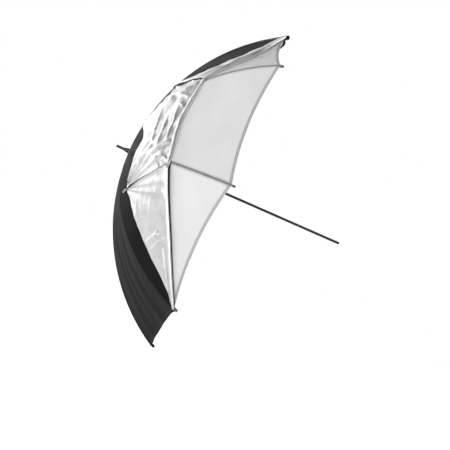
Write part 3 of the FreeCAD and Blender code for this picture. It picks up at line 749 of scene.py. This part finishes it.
# The fold's rounding in each gore: its least radius and how much it swells.
ROLL = {1: (2.2 * MM, 4.6 * MM), 2: (2.6 * MM, 1.4 * MM), 3: (2.4 * MM, 5.4 * MM)}
SHADOW_ROLL_ROWS = 7      # rows on the underside of gore 3's roll that take the black face, a painted shadow band
FLAP_GAP = 2.6 * MM     # how far a flap lies off the cover beneath it where it has no pleats
LEAST_GAP = 0.9 * MM

# The folded corners: name, gore that carries it, place, and where its seam meets the fold.
FOLDED_CORNERS = (("upper", 1, UPPER_CORNER, FOLDS[1][-1]), ("lower", 3, LOWER_CORNER, FOLDS[2][-1]))
ALLOWANCE_WIDTH = {"upper": 9.0, "lower": 3.6}      # of the raw seam edge at each, in millimetres

# Pleats that fan out from the folded corners and from where the fold crosses rib 3: angle from the
# seam and width in degrees, height in millimetres and reach in metres.
UPPER_PLEATS = (
    (0, 3.0, 3.4, 0.34), (-12, 3.6, 3.6, 0.26), (14, 4.0, 3.8, 0.28), (28, 4.4, 3.6, 0.30),
    (44, 5.0, 3.2, 0.30), (60, 6.0, 2.6, 0.24),
)
LOWER_PLEATS = (
    (0, 3.0, 3.8, 0.40), (-11, 3.2, 4.2, 0.36), (-21, 3.4, 4.6, 0.42), (-32, 3.8, 4.6, 0.40),
    (-44, 4.4, 4.2, 0.34), (-58, 5.0, 3.4, 0.28), (11, 3.2, 3.6, 0.36), (21, 3.0, 3.0, 0.42),
    (38, 8.0, 2.4, 0.20),
)
FOLD_PLEATS = ((16, 6, 3.0, 0.05), (38, 6, 3.4, 0.07), (62, 7, 2.4, 0.05), (-24, 7, 2.6, 0.05))


def corner_point(corner, lift=COVER_LIFT):
    return on_canopy(math.radians(corner[0]), math.radians(corner[1]), lift)


def corner_normal(corner):
    return outward(math.radians(corner[0]), math.radians(corner[1]) + BESIDE)


def fan(points, corner, seam_end, pleats):
    """Height of the pleats that gather a flap into a corner."""
    centre = corner_point(corner)
    normal = corner_normal(corner)
    forward = corner_point(seam_end) - centre
    forward = unit(forward - normal * (forward @ normal))
    side = np.cross(forward, normal)
    a, b = (points - centre) @ forward, (points - centre) @ side
    distance = np.hypot(a, b)
    angle = np.degrees(np.arctan2(b, a))
    height = np.zeros(distance.shape)
    for middle, width, rise, reach in pleats:
        ridge = np.exp(-((angle - middle) / width) ** 2)
        height += rise * MM * ridge * smooth(distance / 0.025) * (1 - smooth(distance / reach))
    return height


# Single creases in the flaps: two ends as (polar, turn) in degrees, width and height in millimetres.
CREASES = (
    ((43.4, 128.5), (47.3, 117.0), 4.0, -3.6), ((42.0, 127.0), (46.0, 116.0), 4.0, 4.0),
    ((19.6, 76.0), (25.6, 70.0), 4.0, 4.4), ((20.7, 80.0), (26.4, 74.5), 4.0, -2.4),
    ((24.4, 93.0), (35.8, 79.0), 4.0, 4.2), ((21.0, 104.0), (28.0, 87.0), 4.0, 4.0),
    ((22.7, 50.0), (26.8, 88.0), 6.0, 3.6), ((27.8, 57.0), (29.5, 84.0), 5.0, 2.8),
    ((31.5, 56.0), (32.5, 80.0), 4.0, 2.4), ((28.0, 46.0), (35.2, 53.0), 4.0, 3.2),
    ((25.5, 38.0), (31.5, 49.0), 4.0, 3.2), ((31.0, 54.0), (35.8, 61.0), 4.0, 2.6),
    ((31.0, 89.5), (35.6, 95.5), 3.2, 3.6), ((34.4, 89.8), (37.0, 93.5), 3.0, 3.0),
    ((31.0, 117.0), (35.0, 122.5), 4.0, 3.2), ((36.5, 109.0), (41.5, 121.0), 5.0, 3.2),
    ((33.0, 112.0), (38.0, 121.5), 4.0, -2.0), ((42.0, 114.5), (46.5, 122.5), 4.6, 2.6),
    ((47.5, 120.0), (52.5, 128.0), 4.0, 3.0), ((50.5, 126.0), (55.5, 131.5), 3.6, 2.6),
    ((31.5, 37.0), (43.0, 33.5), 5.0, 3.0), ((43.0, 27.0), (52.0, 22.0), 4.0, 2.4),
    ((36.0, 30.0), (45.0, 30.5), 4.0, 2.2), ((26.5, 100.0), (30.0, 116.0), 4.0, 2.6),
    ((49.0, 118.0), (45.0, 123.5), 3.6, 2.4), ((53.5, 125.0), (50.0, 129.0), 3.2, 2.2),
)


def creased(points):
    """Height of the single creases: sharp ridges and furrows that fade out at their ends."""
    height = np.zeros(points.shape[:-1])
    for start, end, width, rise in CREASES:
        start, end = corner_point(start), corner_point(end)
        way = np.clip((points - start) @ (end - start) / ((end - start) @ (end - start)), 0, 1)
        distance = np.linalg.norm(points - start - way[..., None] * (end - start), axis=-1)
        height += rise * MM * np.sin(way * math.pi) ** 0.7 * np.exp(-(distance / (width * MM)) ** 1.5)
    return height


def flap_height(points, gore, from_fold, radius):
    """How far a folded flap stands off the cover beneath it."""
    roll = (2 * radius - 1.6 * MM) * np.exp(-(from_fold / (radius * 1.3 + 2 * MM)) ** 2)
    height = FLAP_GAP + roll
    height = height + fan(points, UPPER_CORNER, FOLDS[1][-1], UPPER_PLEATS) * (gore < 3)
    height = height + fan(points, LOWER_CORNER, FOLDS[2][-1], LOWER_PLEATS) * (gore > 1)
    height = height + fan(points, FOLDS[2][-1], LOWER_CORNER, FOLD_PLEATS) * (gore > 1)
    away = smooth(from_fold / 0.03)
    billow = bumpy(points, 13, 3.7) * 2.2 + bumpy(points, 34) * 1.1 + bumpy(points, 80, 1.3) * 0.35
    return np.maximum(height + away * (billow * MM + creased(points)), LEAST_GAP)


def gathers(polar, share):
    """Fine pleats that the cloth is drawn into towards the apex."""
    near = smooth(polar / 0.05) * (1 - smooth((polar - 0.1) / 0.3)) * np.sin(share * math.pi) ** 0.5
    return 0.75 * MM * near * (np.sin(share * 52) * 0.6 + np.sin(share * 31 + 1) * 0.4 + 0.6)


def folded_cover_grid(gore, base_rows=40, roll_rows=11, flap_rows=104, columns=129):
    """Middle points of a gore that is folded back: up to the fold, round it, and back to the hem."""
    share = np.linspace(0, 1, columns)
    polar, turn = curve_on_canopy(FOLDS[gore], columns)
    fold = on_canopy(polar, turn)
    hem = on_canopy(*curve_on_canopy(HEMS[gore], columns))
    normal = outward(polar, turn)
    towards_rim = np.cross(normal, unit(np.gradient(fold, axis=0)))
    least, swell = ROLL[gore]
    fullness = np.sin(share * math.pi) ** 0.8
    if gore == 3:
        fullness = smooth(share / 0.05) * (1 - share) ** 0.45
    radius = (least + swell * fullness)[:, None]
    bottom_polar, bottom_turn = locate(fold - towards_rim * radius)
    apex_turn = turn_in_gore(gore, share)
    reach = np.linspace(0, 1, base_rows)[:, None]
    base_polar = APEX_HOLE + (bottom_polar - APEX_HOLE) * reach
    base_turn = apex_turn + (bottom_turn - apex_turn) * reach ** 2
    base = on_canopy(base_polar, base_turn, COVER_LIFT + gathers(base_polar, share[None, :]))
    centre = on_canopy(bottom_polar, bottom_turn, COVER_LIFT) + normal * radius
    bend = np.linspace(-math.pi / 2, math.pi / 2, roll_rows + 2)[1:-1, None, None]
    roll = centre + radius * (np.cos(bend) * towards_rim + np.sin(bend) * normal)
    start = on_canopy(bottom_polar, bottom_turn)
    length = np.linalg.norm(hem - start, axis=1)
    hem_start = np.clip(1 - HEM_START / length, 0.3, 0.97)
    even = np.linspace(0, 1, flap_rows)[:, None]
    over_hem = 1 - (1 - hem_start) * np.array([[0.95], [0.5], [0.0]])
    way = np.concatenate([even * hem_start, over_hem])
    polar, turn = locate(start * (1 - way[..., None]) + hem * way[..., None])
    height = flap_height(on_canopy(polar, turn), gore, way * length, radius[:, 0])
    flap = on_canopy(polar, turn, COVER_LIFT + height)
    middle = np.concatenate([base, roll, flap])
    edge = np.full(middle.shape[:2], 1.0)
    edge[-len(flap):] = (1 - way) * length
    # Painted shadow: the roll's underside rows count as hem, so they show the black face instead of silver.
    if gore == 3:
        edge[base_rows:base_rows + SHADOW_ROLL_ROWS] = 0
    return middle, edge


def cover_wrinkles(polar, share):
    """Long soft folds that the tension from rib tip to apex pulls into the black cloth."""
    near = smooth((polar - 0.2) / 0.6) * np.sin(share * math.pi)
    long_folds = 1.2 * np.sin(share * 15 + polar * 2.2) + 0.7 * np.sin(share * 31 - polar * 4) + 1.7
    return gathers(polar, share) + MM * near * long_folds


def cover_hem_reach(gore, share):
    """How far the cover's hem stands out.

    Its corners are drawn over the rib ends, and a slack stretch shows past the white hem near the top rib.
    """
    corners = 6 * MM * ((1 - share) ** 18 + share ** 18)
    slack = 11 * MM * np.exp(-((share - 0.87) / 0.075) ** 2) if gore == RIBS else 0
    return corners + slack


def cover_canopy():
    for gore in range(1, RIBS + 1):
        if gore in FOLDS:
            middle, edge = folded_cover_grid(gore)
            held = "folded"
        else:
            reach = cover_hem_reach(gore, np.linspace(0, 1, COVER_COLUMNS))
            middle, edge = gore_grid(gore, COVER_LIFT, COVER_SCALLOP, columns=COVER_COLUMNS,
                                     wrinkles=cover_wrinkles, stands_out=reach)
            held = "stretched"
        piece = cloth(f"cover_gore_cloth_{gore}", middle, (BLACK, SILVER), hem_thickness(edge), edge)
        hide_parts(f"cover_gore_{gore}")
        ride_gore(piece, gore)
        sewn = stitches(f"cover_hem_stitches_{gore}", [hem_stitch_line(middle, edge)], BLACK_THREAD)
        ride_gore(sewn, gore)
        seam_end = {2: FOLDS[1][-1][0], 3: FOLDS[2][-1][0]}.get(gore)
        end = RIM if seam_end is None else math.radians(seam_end) - 4 * MM / RADIUS
        tape, rows = seam_strip(f"cover_seam_{gore}", gore, COVER_LIFT + 0.25 * MM, 3.2 * MM,
                                (BLACK, BLACK_THREAD), end=end)
        ride_rib(tape, gore)
        ride_rib(rows, gore)
        sheets["cover", gore] = (piece, held, [f"white_gore_{gore}"], [sewn, tape, rows])


# ------------------------------------------------ corners, loops and seam allowances

# The ribs whose ends the cover's corners are pulled over: how stout each pocket is, and how far it
# reaches past the canopy's corner in millimetres.
POCKETS = {1: (1.65, 11.0), 4: (0.9, 5.0), 5: (0.9, 9.5), 6: (0.9, 9.5), 7: (0.9, 9.5), 8: (0.9, 9.5)}


# How far the white corner tabs reach past the canopy's corner in millimetres: most of them, and rib
# 4's, which shows past its pocket.
TAB = 4.0
LONG_TAB = 9.0

# The elastic loops in metres: middle of the ring from the folded corner, half its length, half its
# width, and the cord's radius.
LOOP = (10.5 * MM, 5.5 * MM, 3.4 * MM, 1.0 * MM)


def along_rib(rib, distances, lift):
    """Points along a rib, at distances beyond the canopy's corner."""
    polar = RIM + distances / RADIUS
    return on_canopy(polar, np.full(len(polar), rib_turn(rib)), lift)


def corner_tabs():
    """The white canopy's corner, sewn round the end of each rib."""
    for rib in range(1, RIBS + 1):
        reach = LONG_TAB if rib == 4 else TAB
        path = along_rib(rib, np.array([-16, -12, -7, -3, 0, reach - 1, reach]) * MM, -1.6 * MM)
        radii = np.array([1.2, 2.2, 2.7, 2.8, 2.8, 2.9, 2.5]) * MM
        out = outward(RIM, rib_turn(rib) + BESIDE)
        # The tab takes the seam tape's painted rib shade as its colour.
        tab = tube(f"white_corner_tab_{rib}", path, radii, SHADED_SEAM, sides=16, flatten=0.95, up=out)
        ride_rib(tab, rib)
        sew_on("white", rib, tab)


def corner_pockets():
    """The cover's pockets, pulled over the rib ends where its corners are hooked."""
    for rib, (swell, reach) in POCKETS.items():
        distances = np.array([-20, -17, -12, -6, 0, reach - 5, reach - 2, reach - 0.8, reach])
        path = along_rib(rib, distances * MM, -2.4 * MM)
        radii = np.array([1.0, 2.6, 3.6, 4.0, 4.3, 4.4, 4.0, 2.6, 1.0]) * MM * swell
        out = outward(RIM, rib_turn(rib) + BESIDE)
        pocket = tube(f"cover_pocket_{rib}", path, radii, BLACK, sides=18, flatten=0.85, up=out)
        crumple(pocket, 260, 0.7)
        ride_rib(pocket, rib)
        sew_on("cover", rib, pocket)


def corner_loops():
    """The tab and elastic loop on each folded corner, and the bunched cloth at the end of its seam.

    The loops hook over rib ends when the cover is closed. The seams end where they cross the fold.
    """
    from_corner, half_length, half_width, cord = LOOP
    for name, gore, corner, seam_end in FOLDED_CORNERS:
        centre = corner_point(corner, COVER_LIFT + 3.2 * MM)
        out = corner_normal(corner)
        ahead = centre - corner_point(seam_end, COVER_LIFT + 3.2 * MM)
        ahead = unit(ahead - out * (ahead @ out))
        path = [centre + ahead * d * MM for d in (-7, -5, -1, 3, 6, 8)]
        radii = np.array([1.4, 2.6, 3.2, 2.9, 2.6, 1.5]) * MM
        tab = tube(f"cover_corner_tab_{name}", path, radii, GREY_ELASTIC, sides=14, flatten=0.5, up=out)
        side = np.cross(ahead, out)
        ring = [centre + ahead * (from_corner + math.cos(t) * half_length) + side * math.sin(t) * half_width
                for t in np.linspace(0, math.tau, 40, endpoint=False)]
        loop = tube(f"cover_loop_{name}", ring, cord, GREY_ELASTIC, sides=10, up=out, loop=True)
        knot_centre = corner_point(seam_end, COVER_LIFT + 3.0 * MM)
        knot_path = [knot_centre + ahead * d * MM for d in (2, 4, 9, 14, 20, 24)]
        knot_radii = np.array([0.8, 2.2, 2.8, 2.4, 1.6, 0.7]) * MM
        knot = tube(f"cover_seam_bunch_{name}", knot_path, knot_radii, BLACK, sides=12, flatten=0.7, up=out)
        crumple(knot, 300, 0.8)
        for piece in (tab, loop, knot):
            ride_gore(piece, gore)
            sew_on("cover", gore, piece)


def seam_allowances():
    """Raw black seam edges that show on the silver side, from each folded corner along its seam."""
    for name, gore, corner, seam_end in FOLDED_CORNERS:
        wide = ALLOWANCE_WIDTH[name]
        start, end = corner_point(corner), corner_point(seam_end)
        length = np.linalg.norm(end - start)
        way = np.linspace(0.02, 0.93, 90)
        line = start + (end - start) * way[:, None]
        polar, turn = locate(line)
        line = on_canopy(polar, turn)
        side = unit(np.cross(outward(polar, turn), unit(np.gradient(line, axis=0))))
        narrow = wide * 0.34
        width = (narrow + (wide - narrow) * (1 - smooth(way * 1.5))) * MM
        across = np.linspace(-0.15, 0.85, 7)
        points = line[:, None] - side[:, None] * (width[:, None] * across)[..., None]
        polar, turn = locate(points)
        from_fold = np.broadcast_to((1 - way)[:, None] * length, polar.shape)
        height = flap_height(on_canopy(polar, turn), gore, from_fold, ROLL[gore][0])
        curl = 0.5 * MM + wide * 0.4 * MM * across ** 2
        strip = cloth(f"cover_allowance_{name}", on_canopy(polar, turn, COVER_LIFT + height + curl),
                      (BLACK, BLACK))
        ride_gore(strip, gore)
        sew_on("cover", gore, strip)


# ------------------------------------------------ camera, light and floor

# The photograph's viewing angle: the shaft slopes down to the right.
VIEW_AZIMUTH = math.radians(-3.85)
VIEW_ELEVATION = math.radians(-1.37)
VIEW_ROLL = math.radians(23.54)
VIEW_TARGET = Vector((-0.1955, 0, -0.0794))
VIEW_DISTANCE = 3.0
LENS = 87.67        # millimetres


def view_axes():
    """The camera's right, up and backward directions."""
    a, e = VIEW_AZIMUTH, VIEW_ELEVATION
    back = Vector((math.sin(a) * math.cos(e), -math.cos(a) * math.cos(e), math.sin(e)))
    level = Vector((math.cos(a), math.sin(a), 0))
    above = back.cross(level)
    right = level * math.cos(VIEW_ROLL) + above * math.sin(VIEW_ROLL)
    up = -level * math.sin(VIEW_ROLL) + above * math.cos(VIEW_ROLL)
    return right, up, back


def make_camera():
    right, up, back = view_axes()
    camera = bpy.data.objects.new("camera", bpy.data.cameras.new("camera"))
    bpy.context.scene.collection.objects.link(camera)
    place = VIEW_TARGET + back * VIEW_DISTANCE
    camera.matrix_world = Matrix.Translation(place) @ Matrix((right, up, back)).transposed().to_4x4()
    camera.data.lens = LENS
    camera.data.clip_end = 50
    bpy.context.scene.camera = camera


def soft_light(name, toward, distance, size, power):
    """A square soft box; toward is (right, up, back) seen from the camera."""
    right, up, back = view_axes()
    direction = (right * toward[0] + up * toward[1] + back * toward[2]).normalized()
    lamp = bpy.data.lights.new(name, "AREA")
    lamp.size = size
    lamp.energy = power
    light = bpy.data.objects.new(name, lamp)
    light.location = VIEW_TARGET + direction * distance
    light.visible_camera = False
    light.rotation_mode = "QUATERNION"
    light.rotation_quaternion = direction.to_track_quat("Z", "Y")
    bpy.context.scene.collection.objects.link(light)


ROOM_LIGHT = 0.15
BACKDROP_LIGHT = 1.1
FLOOR_SIZE = 40
FLOOR_DROP = 0.45       # below the object's lowest point

# Soft boxes: name, direction, distance, size and watts.
SOFT_BOXES = (
    ("left_box", (-1.0, 0.25, 0.1), 3.4, 3.2, 15),
    ("rim_box", (-0.8, 0.37, -0.6), 3.4, 2.6, 22),
    ("top_box", (0.6, 1.0, 0.4), 3.4, 2.0, 5),
    ("front_box", (-0.2, 0.2, 1.0), 4.4, 3.0, 134),
    ("back_box", (0.7, 0.3, -1.0), 4.0, 3.0, 40),
)


def make_backdrop():
    """A white backdrop behind the object and a dimmer room; all of it looks white to the camera."""
    world = bpy.data.worlds.new("studio")
    bpy.context.scene.world = world
    world.use_nodes = True
    tree = world.node_tree
    background = tree.nodes["Background"]
    background.inputs["Color"].default_value = (1, 1, 1, 1)
    towards = tree.nodes.new("ShaderNodeTexCoord")
    facing = tree.nodes.new("ShaderNodeVectorMath")
    facing.operation = "DOT_PRODUCT"
    facing.inputs[1].default_value = -view_axes()[2]
    tree.links.new(towards.outputs["Generated"], facing.inputs[0])
    light = tree.nodes.new("ShaderNodeMapRange")
    light.interpolation_type = "SMOOTHSTEP"
    for key, number in (("From Min", 0.3), ("From Max", 0.85),
                        ("To Min", ROOM_LIGHT), ("To Max", BACKDROP_LIGHT)):
        light.inputs[key].default_value = number
    tree.links.new(facing.outputs["Value"], light.inputs["Value"])
    seen = tree.nodes.new("ShaderNodeLightPath")
    strength = tree.nodes.new("ShaderNodeMapRange")
    strength.inputs["To Max"].default_value = 1.0
    tree.links.new(seen.outputs["Is Camera Ray"], strength.inputs["Value"])
    tree.links.new(light.outputs["Result"], strength.inputs["To Min"])
    tree.links.new(strength.outputs["Result"], background.inputs["Strength"])


def pale_floor():
    """A pale floor that the camera sees as bright as the backdrop, and that lights the object less."""
    s = Shade("pale_floor", (0.9, 0.9, 0.9), 0.8)
    s.shader.inputs["Emission Color"].default_value = (1, 1, 1, 1)
    glow = s.between(s.node("ShaderNodeLightPath").outputs["Is Camera Ray"], 0.2, 0.8, 0, 1)
    s.drive("Emission Strength", glow)
    return s.material


def make_floor():
    floor = bpy.data.objects.new("floor", bpy.data.meshes.new("floor"))
    corners = [(x * FLOOR_SIZE, y * FLOOR_SIZE, 0) for x, y in ((-1, -1), (1, -1), (1, 1), (-1, 1))]
    floor.data.from_pydata(corners, [], [(0, 1, 2, 3)])
    floor.location.z = cad_box[0].z - FLOOR_DROP
    floor.data.materials.append(pale_floor())
    bpy.context.scene.collection.objects.link(floor)


def make_studio():
    make_backdrop()
    for box in SOFT_BOXES:
        soft_light(*box)
    make_floor()
    bpy.context.scene.view_settings.view_transform = "Standard"


make_camera()
dress_cad_nodes()
white_canopy()
cover_canopy()
corner_tabs()
corner_pockets()
corner_loops()
seam_allowances()
make_studio()
